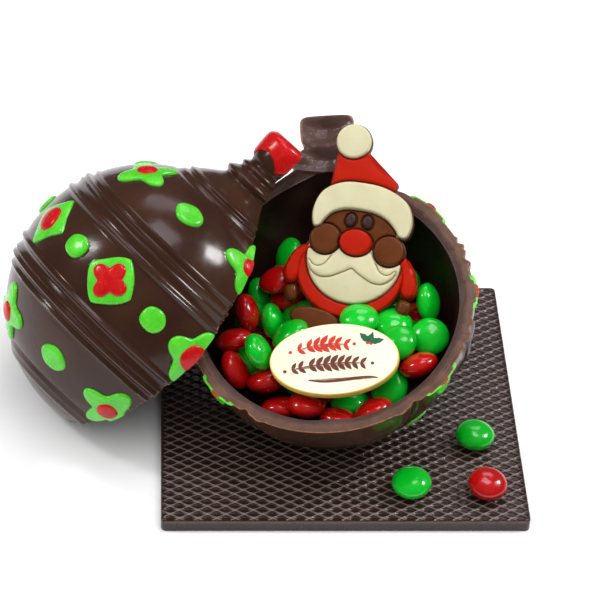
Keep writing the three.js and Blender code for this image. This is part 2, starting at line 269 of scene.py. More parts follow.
# poured inside the mould, never touched, softly glossy; its almost black tone is painted shade, darker than the
# chocolate's own colour, used for the hollow's inside and the heap's core
paintedShadeChocolate = foodMaterial("pouredChocolatePaintedShade", {
    "colour": "20120F", "patch": "281813", "cloud": 12, "wave": 0.8, "grain": 2.2, "relief": 0.04,
    "roughness": (0.3, 0.42)})
# chocolate pressed against an embossed sheet and sawn at the sides
slabChocolate = foodMaterial("embossedDarkChocolate", {
    "colour": "231512", "patch": "2C1B17", "cloud": 16, "grain": 0.9, "relief": 0.03,
    "roughness": (0.25, 0.36), "specular": 0.5}, [
    # painted highlight: the tops of the ribs are painted pale grey for the light they catch
    {"mark": "ribHighlight", "from": 0.5, "to": 1.15, "ragged": 0.3, "colour": "8A7B72", "most": 0.7},
    {"mark": "edge", "from": 0.5, "to": 1.0, "ragged": 0.5, "colour": "5B443A", "most": 0.85}])
# coloured cocoa butter brushed into the mould before the chocolate: bright, glossy, slightly patchy
greenButter = foodMaterial("greenCocoaButter", {
    "colour": "43BC1E", "patch": "58CE30", "cloud": 6, "wave": 0.4, "grain": 1.2, "relief": 0.015,
    "roughness": (0.2, 0.34), "coat": 0.3, "glow": 0.1}, [
    {"mark": "rise", "from": 0.45, "to": 0.05, "ragged": 0.15, "colour": "2FA61C", "most": 0.75}])
redButter = foodMaterial("redCocoaButter", {
    "colour": "AE0A0C", "patch": "BC1010", "cloud": 5, "wave": 0.3, "grain": 1.2, "relief": 0.015,
    "roughness": (0.2, 0.32), "coat": 0.15, "specular": 0.35, "glow": 0.08})
# sugar shells polished with wax: strong clear colour, broad soft highlights
greenSugar = foodMaterial("greenSugarShell", {
    "colour": "00B420", "patch": "04C02A", "cloud": 7, "wave": 0.25, "grain": 1.4, "relief": 0.02,
    "roughness": (0.16, 0.26), "coat": 0.5, "coatRoughness": 0.08, "glow": 0.1}, [
    {"mark": "shade", "from": 0.3, "to": 1.0, "colour": "009A18", "most": 0.6}])
redSugar = foodMaterial("redSugarShell", {
    "colour": "AC0808", "patch": "BA0E0C", "cloud": 7, "wave": 0.25, "grain": 1.4, "relief": 0.02,
    "roughness": (0.16, 0.26), "coat": 0.5, "coatRoughness": 0.08, "glow": 0.1}, [
    {"mark": "shade", "from": 0.3, "to": 1.0, "colour": "8C0606", "most": 0.6}])
# white chocolate: warm ivory, satin, lets a little light in
ivoryChocolate = foodMaterial("whiteChocolatePlaque", {
    "colour": "F5EBCE", "patch": "F1E5C4", "cloud": 14, "grain": 1.5, "relief": 0.012,
    "roughness": (0.4, 0.52), "glow": 0.25}, [
    {"mark": "side", "from": 0.2, "to": 0.8, "colour": "F0D264"}])
creamChocolate = foodMaterial("creamWhiteChocolate", {
    "colour": "CBC7A4", "patch": "C4BE98", "cloud": 9, "wave": 0.15, "grain": 1.3, "relief": 0.012,
    "roughness": (0.34, 0.46), "glow": 0.2}, [
    # painted shade: an olive line where each cream field falls to its edge and in the line pressed round the
    # moustache
    {"mark": "rise", "from": 0.7, "to": 0.1, "ragged": 0.1, "colour": "9A8A3C", "most": 0.9}])
redChocolate = foodMaterial("colouredWhiteChocolate", {
    "colour": "A41500", "patch": "AE1B02", "cloud": 8, "wave": 0.15, "grain": 1.3, "relief": 0.012,
    "roughness": (0.34, 0.46), "specular": 0.22, "glow": 0.1}, [
    {"mark": "rise", "from": 0.5, "to": 0.0, "ragged": 0.1, "colour": "8A1A0A", "most": 0.8}])
milkChocolate = foodMaterial("milkChocolate", {
    "colour": "54290A", "patch": "5E3010", "cloud": 7, "wave": 0.15, "grain": 1.3, "relief": 0.015,
    "roughness": (0.3, 0.42), "specular": 0.3}, [
    {"mark": "rise", "from": 0.5, "to": 0.0, "ragged": 0.1, "colour": "46230F", "most": 0.8}])
backChocolate = foodMaterial("figureBackChocolate", {
    "colour": "4A2812", "patch": "55301A", "cloud": 6, "grain": 1.2, "relief": 0.03, "roughness": (0.36, 0.5)})
eyeChocolate = foodMaterial("darkChocolateDots", {
    "colour": "2E1A18", "patch": "3E2826", "cloud": 1.6, "grain": 0.6, "relief": 0.08, "roughness": (0.4, 0.6)})
# edible ink on the plaque, a little uneven where it was pressed on
inkLooks = {
    "red": {"colour": "C7321C", "patch": "B52A18"},
    "brown": {"colour": "5A2A20", "patch": "6A352A"},
    "green": {"colour": "16603A", "patch": "0F4F30"},
}
inks = {name: foodMaterial(name + "EdibleInk", {
    **look, "cloud": 1.5, "grain": 0.5, "relief": 0.01, "roughness": (0.5, 0.62)})
    for name, look in inkLooks.items()}
print("materials ready")


# The bauble's halves

shell = {
    "radius": 47.55, "wall": 4.8, "ballEnd": 41.5, "matched": 38, "cavityEnd": 51.6,
    "lip": 1.3, "solidFrom": 42.5, "rows": 250, "columns": 150, "innerColumns": 40, "rimColumns": 12,
}
# beads and grooves round the ball: along the axis, height, half width
beadsMiddle = 1.1  # the two groups of rings mirror each other about this place
ballBeads = (
    [(beadsMiddle + side * at, 1.0, 1.3) for side in (-1, 1) for at in (11.1, 17.3)]
    + [(beadsMiddle + side * at, 0.6, 0.85) for side in (-1, 1) for at in (15.3, 20.4)]
    + [(beadsMiddle + side * at, -0.35, 1.0) for side in (-1, 1) for at in (13.3, 19)]
    + [(beadsMiddle + side * 16.2, 0.35, 3.6) for side in (-1, 1)]
    + [(-38.7, -1.1, 1.4), (-41.5, 0.6, 1.3), (44.6, 1.0, 1.3), (42.5, 0.45, 0.9), (41, -0.25, 0.8)]
)
# the neck, its waist and its tip: along the axis, radius; a fat ring and a low one are laid on it
neckLine = [
    (41.5, 23.2), (43.3, 20.9), (45.8, 18.6), (48.5, 15.2), (50.3, 12.6), (52, 10.9), (54.5, 9.9), (57, 8.9),
    (59.4, 7.8), (60.7, 7.9), (62, 8.5), (63.5, 8.9), (66, 9.1), (69, 9.2), (70.8, 9), (71.8, 8.2), (72.3, 6.8),
    (72.4, 3.4), (72.4, 0),
]
neckBeads = [(53.9, 2.2, 2.8), (58.2, 1.25, 1.7)]
cavityLine = [(34, 25.9), (38, 22.6), (41.5, 18.6), (45.3, 13.2), (48.4, 9), (51, 4.2), (51.6, 0)]
# shallow hollows in the solid neck and tip: depth, then where each begins, is full, begins to end, ends
dishes = [(2.7, 60.6, 65.5, 68, 72), (3.2, 44, 54, 56, 60.4)]
moulded, scraped, poured, settled = range(4)  # the order of the shell's materials


def beadHeight(along, beads):
    total = np.zeros_like(along)
    for at, height, halfWidth in beads:
        u = np.clip((along - at) / halfWidth, -1, 1)
        total += height * np.cos(u * pi / 2) ** 2
    return total


# Ornaments on the ball: kind, degrees round from the right rim, millimetres along the axis
ornamentHeight = {
    "edge": 0.95, "crown": 0.4, "round": 1.1, "root": 0.6, "redEdge": 0.75, "redCrown": 0.55, "redRound": 1.2,
}
twoColoured = ("star", "kite", "rhomb", "square")
# half sizes across and along, and how square the outline is: 1 a rhomb, 2 an oval
ovalOutlines = {
    "rhomb": (10.6, 11, 0.9), "square": (9.3, 9.4, 1.3), "pebble": (5.3, 4.4, 1.75), "dot": (4.4, 4.0, 2.2),
}
rhombBlunt = {"reach": 10.4, "power": 9}
film = 0.24  # thickness of the painted layer over the chocolate that fills an ornament
inset = 0.9  # how far inside an ornament's outline that chocolate starts
bowlRim = (-4.5, -4.5, -4.5)  # degrees from the rim to the middles of the ornaments that it cuts, row by row
lidRim = (0, 1, 7)


def ornamentPlaces(rim):
    rows = [("star", "star", 33.4), ("kite", "rhomb", 1.2), ("star", "star", -30.7)]
    places = []
    for (kind, middle, along), inward in zip(rows, rim):
        places += [(kind, inward, along), (middle, 90, along), (kind, 180 - inward, along)]
    places += [("square", degrees, 1.7) for degrees in (34, 134)]
    places += [("pebble", degrees, along) for along in (33.6, -30.2) for degrees in (46, 134)]
    return places + [("dot", degrees, 1.9) for degrees in (17, 60, 112.5, 156.5)]


def wobble(angle, seed, amount):  # hand-made unevenness of an outline
    steps = (2, 3, 5)
    return 1 + amount * sum(np.sin(n * angle + seed * (n + 1.7)) for n in steps) / len(steps)


def greenReach(kind, angle, seed):
    if kind == "star":
        reach = 5.7 + 4.7 * np.abs(np.cos(2 * angle)) ** 2.2
    elif kind == "kite":
        reach = 6.6 + 3.6 * np.abs(np.cos(2 * angle)) ** 1.9
    else:
        across, along, power = ovalOutlines[kind]
        reach = (np.abs(np.cos(angle) / across) ** power + np.abs(np.sin(angle) / along) ** power) ** (-1 / power)
        if kind == "rhomb":
            power = -rhombBlunt["power"]
            reach = (reach**power + rhombBlunt["reach"] ** power) ** (1 / power)
    return reach * wobble(angle, seed, 0.04)


def redReach(kind, angle, seed):
    if kind == "square":  # four blunt corners along the axis and across it, and hollow sides
        reach = 4.1 + 2.6 * np.abs(np.cos(2 * angle)) ** 1.3
    else:
        reach = np.full_like(angle, 3.5 if kind == "star" else 4.6)
    return reach * wobble(angle, seed + 2, 0.05)


def rounded(inward, width):  # a shoulder: 0 at the edge, 1 once inward passes width
    u = np.clip(inward / width, 0, 1)
    return np.sqrt(1 - (1 - u) ** 2)


def greenHeight(reach, share):
    h = ornamentHeight
    return h["edge"] * rounded((1 - share) * reach, h["round"]) + h["crown"] * (1 - share**2)


def redHeight(reach, share):
    h = ornamentHeight
    return h["edge"] + h["redEdge"] * rounded((1 - share) * reach, h["redRound"]) + h["redCrown"] * (1 - share**2)


def onBall(around, along, x, y, height):  # a place by its distance from an ornament's middle, in the half's frame
    radius = shell["radius"]
    latitude = asin(along / radius) + y / radius
    longitude = radians(around) + x / (radius * cos(asin(along / radius)))
    reach = radius + height
    return np.stack([reach * np.cos(latitude) * np.cos(longitude), reach * np.sin(latitude),
                     -reach * np.cos(latitude) * np.sin(longitude)], -1)


def chocolateUnder(places, theta, latitude):  # the shell's own rise below the painted ornaments
    radius = shell["radius"]
    rise = np.zeros(np.broadcast(theta, latitude).shape)
    for seed, (kind, around, along) in enumerate(places):
        middle = asin(along / radius)
        x = (theta - radians(around)) * radius * cos(middle)
        y = (latitude - middle) * radius
        angle = np.arctan2(y, x)
        distance = np.hypot(x, y)
        reach = greenReach(kind, angle, seed)
        height = np.where(distance < reach - inset, greenHeight(reach, np.minimum(distance / reach, 1)), 0)
        if kind in twoColoured:
            reach = redReach(kind, angle, seed)
            redder = redHeight(reach, np.minimum(distance / reach, 1)) - film
            height = np.where(distance < reach - inset, np.maximum(height, redder), height)
        rise = np.maximum(rise, np.maximum(height - film, 0))
    return rise


def noiseLine(values, size, seed):  # smooth random numbers along a line, -1 to 1
    return np.array([noise.noise(Vector((value / size, seed * 7.3, 0.5))) for value in values])


def outsideOf(places, theta):  # rows from the round end to the tip: nominal place, angle, reach and place
    radius = shell["radius"]
    latitude = np.linspace(-pi / 2, asin(shell["ballEnd"] / radius), shell["rows"])
    nominal = radius * np.sin(latitude)
    rise = chocolateUnder(places, theta[None, :], latitude[:, None])
    ball = (radius + beadHeight(nominal, ballBeads))[:, None] + rise
    neck = smoothLine(neckLine, 12)
    lift = beadHeight(neck[:, 0], ballBeads + neckBeads)
    neckReach = np.maximum(neck[:, 1] + lift * (neck[:, 1] > 1), 0)
    neckReach[-1] = 0
    columns = len(theta)
    reach = np.concatenate([ball * np.cos(latitude)[:, None], np.repeat(neckReach[1:, None], columns, 1)])
    along = np.concatenate([ball * np.sin(latitude)[:, None], np.repeat(neck[1:, 0][:, None], columns, 1)])
    return np.concatenate([nominal, neck[1:, 0]]), latitude, reach, along


def pouredLine(nominal, latitude):  # the inside's place and radius, matched to the outside row by row
    inner = shell["radius"] - shell["wall"]
    cavity = smoothLine(cavityLine, 8)
    first = cavityLine[0][0]
    matched = shell["matched"]
    end = shell["cavityEnd"]
    shrink = asin(first / inner) / asin(matched / shell["radius"])
    line = []
    for row, at in enumerate(nominal):
        if at <= matched:
            angle = latitude[row] * (shrink if at > 0 else 1)
            line.append((inner * sin(angle), inner * cos(angle)))
        elif at < end:
            within = first + (at - matched) / (end - matched) * (end - first)
            line.append((within, float(np.interp(within, cavity[:, 0], cavity[:, 1]))))
        else:
            line.append((max(at, end), 0.0))
    line = np.array(line)
    line[line[:, 1] < 0.02, 1] = 0
    return line


def chipEdges(outer, reach, seed):  # small chips along the broken edge
    for column, side in ((0, 1), (-1, -1)):
        along = outer[:, column, 1]
        chips = noiseLine(along, 2.4, seed + column) * 0.2 + noiseLine(along, 7.5, seed + 3 + column) * 0.75
        chips *= smooth(reach[:, column], 1, 6)
        outer[:, column, 0] += side * (chips * 0.6 - 0.1)
        outer[:, column, 2] -= 0.12 + np.abs(chips) * 0.5


def addRim(shape, outer, inside, level, depth, seed):  # the broken face from the outer edge to the inner one
    share = np.linspace(0, 1, shell["rimColumns"] + 1)
    solid = smooth(level, 44, shell["cavityEnd"])[:, None]
    profile = (1 - solid) * smooth(share, 0.42, 1.0) + solid * (1 - (1 - share) ** 2) ** 1.2
    change = int((level < shell["solidFrom"]).sum())
    for column in (0, -1):
        start = outer[:, column][:, None]
        end = inside[:, column][:, None]
        strip = start + (end - start) * share[None, :, None]
        strip[..., 2] = start[..., 2] * (1 - smooth(share, 0, 0.12)) - depth * profile
        rough = np.array([[noise.noise(Vector((p[0] / 2.2, p[1] / 1.3, seed))) for p in line] for line in strip])
        strip[..., 2] += 0.16 * rough * np.sin(share * pi) * (1 - solid)
        strip[:, 0] = start[:, 0]
        strip[:, -1] = end[:, 0]
        marks = np.repeat(share[None, :], len(strip), 0)
        if column == 0:
            strip = strip[:, ::-1]
            marks = marks[:, ::-1]
        shape.grid(strip[:change + 1], scraped, marks[:change + 1])
        shape.grid(strip[change:], settled, marks[change:])


def shellShape(places, seed):
    theta = np.linspace(0, pi, shell["columns"] + 1)
    nominal, latitude, reach, along = outsideOf(places, theta)
    outer = np.stack([reach * np.cos(theta), along, -reach * np.sin(theta)], -1)
    chipEdges(outer, reach, seed)
    innerLine = pouredLine(nominal, latitude)
    level = along[:, 0]
    dish = sum(deep * smooth(level, begins, full) * smooth(-level, -ends, -ending)
               for deep, begins, full, ending, ends in dishes)
    depth = (dish + shell["lip"] * smooth(innerLine[:, 1], 0, 8))[:, None]
    around = np.linspace(0, pi, shell["innerColumns"] + 1)
    innerReach = innerLine[:, 1][:, None]
    inside = np.stack([
        innerReach * np.cos(around), np.repeat(innerLine[:, 0][:, None], len(around), 1),
        -(depth + np.maximum(innerReach - depth, 0) * np.sin(around))], -1)
    shape = Shape()
    edges = np.zeros(outer.shape[:2])
    edges[:, [0, -1]] = -1
    shape.grid(outer, moulded, edges)
    hollow = int((innerLine[:, 1] > 0).sum()) + 1
    # the inside takes the near-black chocolate of painted shade
    shape.grid(inside[:hollow, ::-1], poured, np.ones((hollow, len(around))))
    addRim(shape, outer, inside, level, depth, seed)
    return shape


def skin(shape, reachOf, heightOf, kind, around, along, seed):  # one painted ornament as a thin closed body
    points = 56 if kind in twoColoured else 40
    shares = np.array([0, 0.2, 0.4, 0.58, 0.72, 0.82, 0.89, 0.935, 0.965, 0.985, 1.0])  # closer at the shoulder
    angle = np.arange(points) * tau / points
    reach = reachOf(kind, angle, seed)
    share = shares[:, None]
    height = heightOf(reach[None, :], share)
    x = share * reach * np.cos(angle)
    y = share * reach * np.sin(angle)
    top = onBall(around, along, x, y, height)
    root = onBall(around, along, x[-1:], y[-1:], np.full((1, points), -ornamentHeight["root"]))
    base = onBall(around, along, x[:1], y[:1], np.full((1, points), -ornamentHeight["root"]))
    rise = np.concatenate([height, np.zeros((2, points))])
    shape.grid(np.concatenate([top, root, base]), 0, rise, wrap=True)


def cutAtRim(mesh, place, below=0.12):  # nothing painted stands above the plane that opens the bauble
    plane = Matrix.Scale(mm, 4) @ place
    shape = bmesh.new()
    shape.from_mesh(mesh)
    bmesh.ops.remove_doubles(shape, verts=shape.verts, dist=weld)
    cut = bmesh.ops.bisect_plane(
        shape, geom=shape.verts[:] + shape.edges[:] + shape.faces[:], dist=weld / 4,
        plane_co=plane @ Vector((0, 0, -below)), plane_no=place.to_3x3() @ Vector((0, 0, 1)), clear_outer=True)
    edges = [item for item in cut["geom_cut"] if isinstance(item, bmesh.types.BMEdge)]
    bmesh.ops.holes_fill(shape, edges=edges, sides=0)
    shape.to_mesh(mesh)
    shape.free()


tipPaint = {
    "from": 60.6, "border": 61.2, "scallop": 4.3, "turn": 146, "stop": 1.0, "round": 0.8,
    "thick": 0.5, "root": 0.3, "rows": 22, "columns": 72,
}


def paintTip(shape, seed):  # the red cap on the neck's tip, its lower border scalloped
    neck = smoothLine(neckLine, 10)
    neck = neck[neck[:, 0] >= tipPaint["from"]]
    steps = np.concatenate([[0], np.cumsum(np.linalg.norm(np.diff(neck, axis=0), axis=1))])
    theta = np.linspace(radians(1.5), pi - radians(1.5), tipPaint["columns"])
    scallops = np.abs(np.sin(2 * theta - radians(tipPaint["turn"]))) ** 0.9
    border = tipPaint["border"] + tipPaint["scallop"] * scallops + 0.15 * noiseLine(theta, 0.2, seed)
    rising = 90  # points of the line before it turns in at the end
    first = np.interp(border, neck[:rising, 0], steps[:rising])
    last = steps[-1] - tipPaint["stop"]
    sheets = []
    for thick in (tipPaint["thick"], -tipPaint["root"]):
        sheet = np.zeros((tipPaint["rows"], tipPaint["columns"], 3))
        for row, share in enumerate(np.linspace(0, 1, tipPaint["rows"])):
            at = first + (last - first) * share
            along = np.interp(at, steps, neck[:, 0])
            reach = np.interp(at, steps, neck[:, 1])
            edge = rounded(np.minimum(at - first, last - at), tipPaint["round"]) if thick > 0 else 1.0
            ends = smooth(along, 71.0, 72.4)
            reach = reach + thick * edge * (1 - ends)
            along = along + thick * edge * ends
            sheet[row] = np.stack([reach * np.cos(theta), along, -reach * np.sin(theta)], -1)
        sheets.append(sheet)
    outer, inner = sheets
    shape.grid(outer)
    shape.grid(inner[::-1])
    for first, second in ((outer[0], inner[0]), (inner[-1], outer[-1]),
                          (outer[::-1, 0], inner[::-1, 0]), (outer[:, -1], inner[:, -1])):
        shape.grid(np.stack([second, first]))


def makeHalf(name, node, pose, rim, seed, tipPainted):
    place = frameOf(pose)
    places = ornamentPlaces(rim)
    mesh = shellShape(places, seed).mesh(name + "Shell", place, "across")
    finishes = (mouldedChocolate, rimChocolate, paintedShadeChocolate, neckChocolate)
    addPiece(name + "Shell", mesh, finishes, (node,), 50)
    green = Shape()
    red = Shape()
    for number, (kind, around, along) in enumerate(places):
        skin(green, greenReach, greenHeight, kind, around, along, number)
        if kind in twoColoured:
            skin(red, redReach, redHeight, kind, around, along, number)
    if tipPainted:
        paintTip(red, seed)
    for colour, shape, material in (("Green", green, greenButter), ("Red", red, redButter)):
        mesh = shape.mesh(name + colour + "Ornaments", place, "rise")
        cutAtRim(mesh, place)
        addPiece(name + colour + "Ornaments", mesh, (material,), (), 50)


makeHalf("bowl", "bowl_half", bowlPose, bowlRim, 3, False)
makeHalf("lid", "lid_half", lidPose, lidRim, 8, True)


# Candies: sugar-shelled lentils, set out by one tree on points that say which way each flat face looks

candy = {
    "radius": 6.75, "halfThick": 3.95, "uneven": 0.05, "lump": 5, "lumpHeight": 0.5, "segments": 36, "rings": 22,
}
heapCandies = {
    "green": [
        ((-25.3, 15.5, -22.1), (0.99, 0.07, 0.13)), ((-19.9, 1.5, -14.6), (0.98, 0.1, 0.14)),
        ((-13.4, -7.3, -7.9), (-0.46, 0.48, 0.75)), ((-23.3, -15.4, -3.6), (0.91, 0.21, 0.36)),
        ((18.5, -25.5, -14.4), (-0.48, -0.08, 0.88)), ((4.9, -27.5, -18), (0.09, 0.54, 0.84)),
        ((32.2, -8.6, -11.6), (0.04, -0.15, 0.99)), ((21.7, -12.6, -7.4), (-0.22, 0.1, 0.97)),
        ((20.2, -3.8, -10.6), (0.1, 0.32, 0.94)), ((9.6, -3.4, -6.6), (0.1, 0.37, 0.92)),
        ((32.1, 4.6, -12.4), (0.98, -0.01, 0.19)), ((-14.7, 27.7, -16.9), (-0.82, 0, 0.57)),
    ],
    "red": [
        ((-28, 3.4, -10.8), (0.98, 0.14, 0.17)), ((-32.2, -7.5, -9.2), (-0.14, 0.77, 0.63)),
        ((-31.6, -18.8, -8.6), (0.92, 0.23, 0.33)), ((-21.4, -23, -9.6), (-0.11, 0.77, 0.63)),
        ((-17.4, -30.9, -14), (0.03, 0.78, 0.62)), ((-8.4, -32.4, -9.4), (0.12, 0.6, 0.79)),
        ((1.9, -36.4, -13.4), (0.3, 0.7, 0.6)), ((13.2, -34.6, -12.2), (-0.35, 0.71, 0.61)),
        ((28.5, -20.5, -8.4), (-0.27, 0.73, 0.62)), ((23.2, -13.1, -19.4), (-0.49, 0.36, 0.79)),
        ((27.5, 5.1, -22.2), (0.01, 0.54, 0.84)), ((-17.8, 15.9, -11.8), (-0.22, 0.5, 0.84)),
        ((-15.4, 12.8, -18.6), (-0.24, 0.6, 0.76)),
    ],
}
looseCandies = [
    ("green", (44.9, -22.8), (0.05, 0.02, 1)), ("green", (21.9, -46), (-0.05, -0.08, 1)),
    ("red", (46.9, -46.4), (0.06, -0.12, 1)),
]


def candyTree(material):
    tree, given = newTree("candies", {
        "Candy radius": "Float", "Half thickness": "Float", "Size variation": "Float", "Seed": "Int"})
    ball = addNode(tree, "GeometryNodeMeshUVSphere", {
        "Segments": candy["segments"], "Rings": candy["rings"], "Radius": 1.0})
    size = addNode(tree, "ShaderNodeCombineXYZ", {
        "X": given["Candy radius"], "Y": given["Candy radius"], "Z": given["Half thickness"]})
    lentil = addNode(tree, "GeometryNodeTransform", {"Geometry": ball.outputs["Mesh"], "Scale": size.outputs[0]})
    facing = addNode(tree, "GeometryNodeInputNamedAttribute", {"Name": "facing"}, data_type="FLOAT_VECTOR")
    turned = addNode(tree, "FunctionNodeAlignRotationToVector", {"Vector": facing.outputs["Attribute"]}, axis="Z")
    least = maths(tree, "SUBTRACT", 1.0, given["Size variation"])
    spread = addNode(tree, "FunctionNodeRandomValue", {
        2: least, 3: 1.0, "Seed": given["Seed"]}, data_type="FLOAT")
    placed = addNode(tree, "GeometryNodeInstanceOnPoints", {
        "Points": given["Geometry"], "Instance": lentil.outputs["Geometry"],
        "Rotation": turned.outputs["Rotation"], "Scale": spread.outputs[1]})
    later = maths(tree, "ADD", given["Seed"], 5.0)
    tone = addNode(tree, "FunctionNodeRandomValue", {2: 0.0, 3: 1.0, "Seed": later}, data_type="FLOAT")
    shaded = addNode(tree, "GeometryNodeStoreNamedAttribute", {
        "Geometry": placed.outputs[0], "Name": "shade", "Value": tone.outputs[1]},
        data_type="FLOAT", domain="INSTANCE")
    real = addNode(tree, "GeometryNodeRealizeInstances", {"Geometry": shaded.outputs[0]})
    # sugar coats are never quite even: a slow noise moves the surface by a tenth or two of a millimetre
    lumps = addNode(tree, "ShaderNodeTexNoise", {"Scale": 1 / (candy["lump"] * mm), "Detail": 1.0})
    centred = addNode(tree, "ShaderNodeVectorMath", {0: lumps.outputs["Color"], 1: (0.5, 0.5, 0.5)},
                      operation="SUBTRACT")
    small = addNode(tree, "ShaderNodeVectorMath", {
        0: centred.outputs[0], "Scale": candy["lumpHeight"] * mm}, operation="SCALE")
    uneven = addNode(tree, "GeometryNodeSetPosition", {"Geometry": real.outputs[0], "Offset": small.outputs[0]})
    finished = addNode(tree, "GeometryNodeSetMaterial", {"Geometry": uneven.outputs[0], "Material": material})
    addNode(tree, "NodeGroupOutput", {"Geometry": finished.outputs[0]})
    return tree


def applied(name, mesh, tree, values):  # a node tree's result as a plain mesh
    carrier = bpy.data.objects.new(name, mesh)
    bpy.context.scene.collection.objects.link(carrier)
    modifier = carrier.modifiers.new("shape", "NODES")
    modifier.node_group = tree
    for item in tree.interface.items_tree:
        if item.in_out == "INPUT" and item.name in values:
            modifier[item.identifier] = values[item.name]
    bpy.context.view_layer.update()
    ready = carrier.evaluated_get(bpy.context.evaluated_depsgraph_get())
    result = bpy.data.meshes.new_from_object(ready)
    carrier.modifiers.clear()
    bpy.data.objects.remove(carrier)
    return result


def makeCandies(name, spots, place, material, seed, replaced=()):
    mesh = bpy.data.meshes.new(name)
    toMetres = Matrix.Scale(mm, 4) @ place
    mesh.from_pydata([toMetres @ Vector(at) for at, _ in spots], [], [])
    facing = mesh.attributes.new("facing", "FLOAT_VECTOR", "POINT")
    turn = place.to_3x3()
    facing.data.foreach_set("vector", np.array([turn @ Vector(way) for _, way in spots]).reshape(-1))
    result = applied(name, mesh, candyTree(material), {
        "Candy radius": candy["radius"] * mm, "Half thickness": candy["halfThick"] * mm,
        "Size variation": candy["uneven"], "Seed": seed})
    return addPiece(name, result, (), replaced, 60)


# candies below the ones that show: how many, the box they are drawn in, how far apart their middles are,
# and between which depths under the heap's sloping surface
hidden = {
    "count": 46, "seed": 11, "low": (-34, -34, -30), "high": (34, 26, -15), "apart": 8.8, "layer": (1, 9),
    "surface": -15.5, "slope": -0.2126,
}


def hiddenCandies():
    draw = np.random.default_rng(hidden["seed"])
    taken = [np.array(at) for spots in heapCandies.values() for at, _ in spots]
    found = []
    tries = 0
    inside = shell["radius"] - shell["wall"] - candy["radius"]
    shallow, deep = hidden["layer"]
    while len(found) < hidden["count"] and tries < 20000:
        tries += 1
        at = draw.uniform(hidden["low"], hidden["high"])
        surface = hidden["surface"] + hidden["slope"] * at[1]
        if np.linalg.norm(at) > inside or not surface - deep < at[2] < surface - shallow:
            continue
        if min(np.linalg.norm(at - other) for other in taken) < hidden["apart"]:
            continue
        taken.append(at)
        found.append((tuple(at), tuple(draw.normal(size=3) * (0.7, 0.7, 1))))
    return found


# painted shade: the core is near black, standing in for the shade between the candies
def makeCore():  # the heap's own dark middle, under the candies
    shape = Shape()
    inner = shell["radius"] - shell["wall"] - 0.4
    level = -25
    steps = 64
    angle = np.arange(steps) * tau / steps
    rings = []
    for share in np.linspace(0, 1, 12):
        latitude = -pi / 2 + share * (asin(level / inner) + pi / 2)
        reach = inner * cos(latitude)
        height = np.full(steps, inner * sin(latitude))
        rings.append(np.stack([reach * np.cos(angle), reach * np.sin(angle), height], -1))
    last = rings[-1]
    for share in (0.7, 0.4, 0):  # a gently uneven top
        ring = last * (share, share, 1)
        ring[:, 2] += 1.5 * np.cos(ring[:, 0] / 4) * np.cos(ring[:, 1] / 4) - 0.1 * ring[:, 1]
        rings.append(ring if share else np.repeat(ring.mean(0)[None], steps, 0))
    shape.grid(np.stack(rings), wrap=True)
    mesh = shape.mesh("heapCore", bowlFrame)
    addPiece("heapCore", mesh, (paintedShadeChocolate,), ("candy_heap",))


makeCore()
extra = hiddenCandies()
split = len(extra) * 11 // 20
heapCandies["red"] += extra[:split]
heapCandies["green"] += extra[split:]
sugars = {"green": (greenSugar, 4), "red": (redSugar, 9)}  # each colour's material and seed
for colour, (material, seed) in sugars.items():
    makeCandies(colour + "_candies", heapCandies[colour], bowlFrame, material, seed, ("candy_heap",))
slabTop = 4.35
above = slabTop + candy["halfThick"] + 0.2
for number, (colour, at, way) in enumerate(looseCandies, 1):
    makeCandies(f"{colour}_candy_{number}", [((*at, above), way)], Matrix.Identity(4), sugars[colour][0],
                20 + number, (f"loose_candy_{number}",))


# The slab: diamond pits between thin ribs, pressed by an embossed sheet

# meshPower crowds the points of a pit towards the ribs; pitPower says how square the pit is
slab = {
    "side": 120, "thick": slabTop, "cellX": 6.0, "cellY": 3.75, "pit": 0.58, "ribShare": 0.17, "corner": 1.6,
    "chamfer": 0.3, "meshPower": 1.6, "pitPower": 4.0,
}


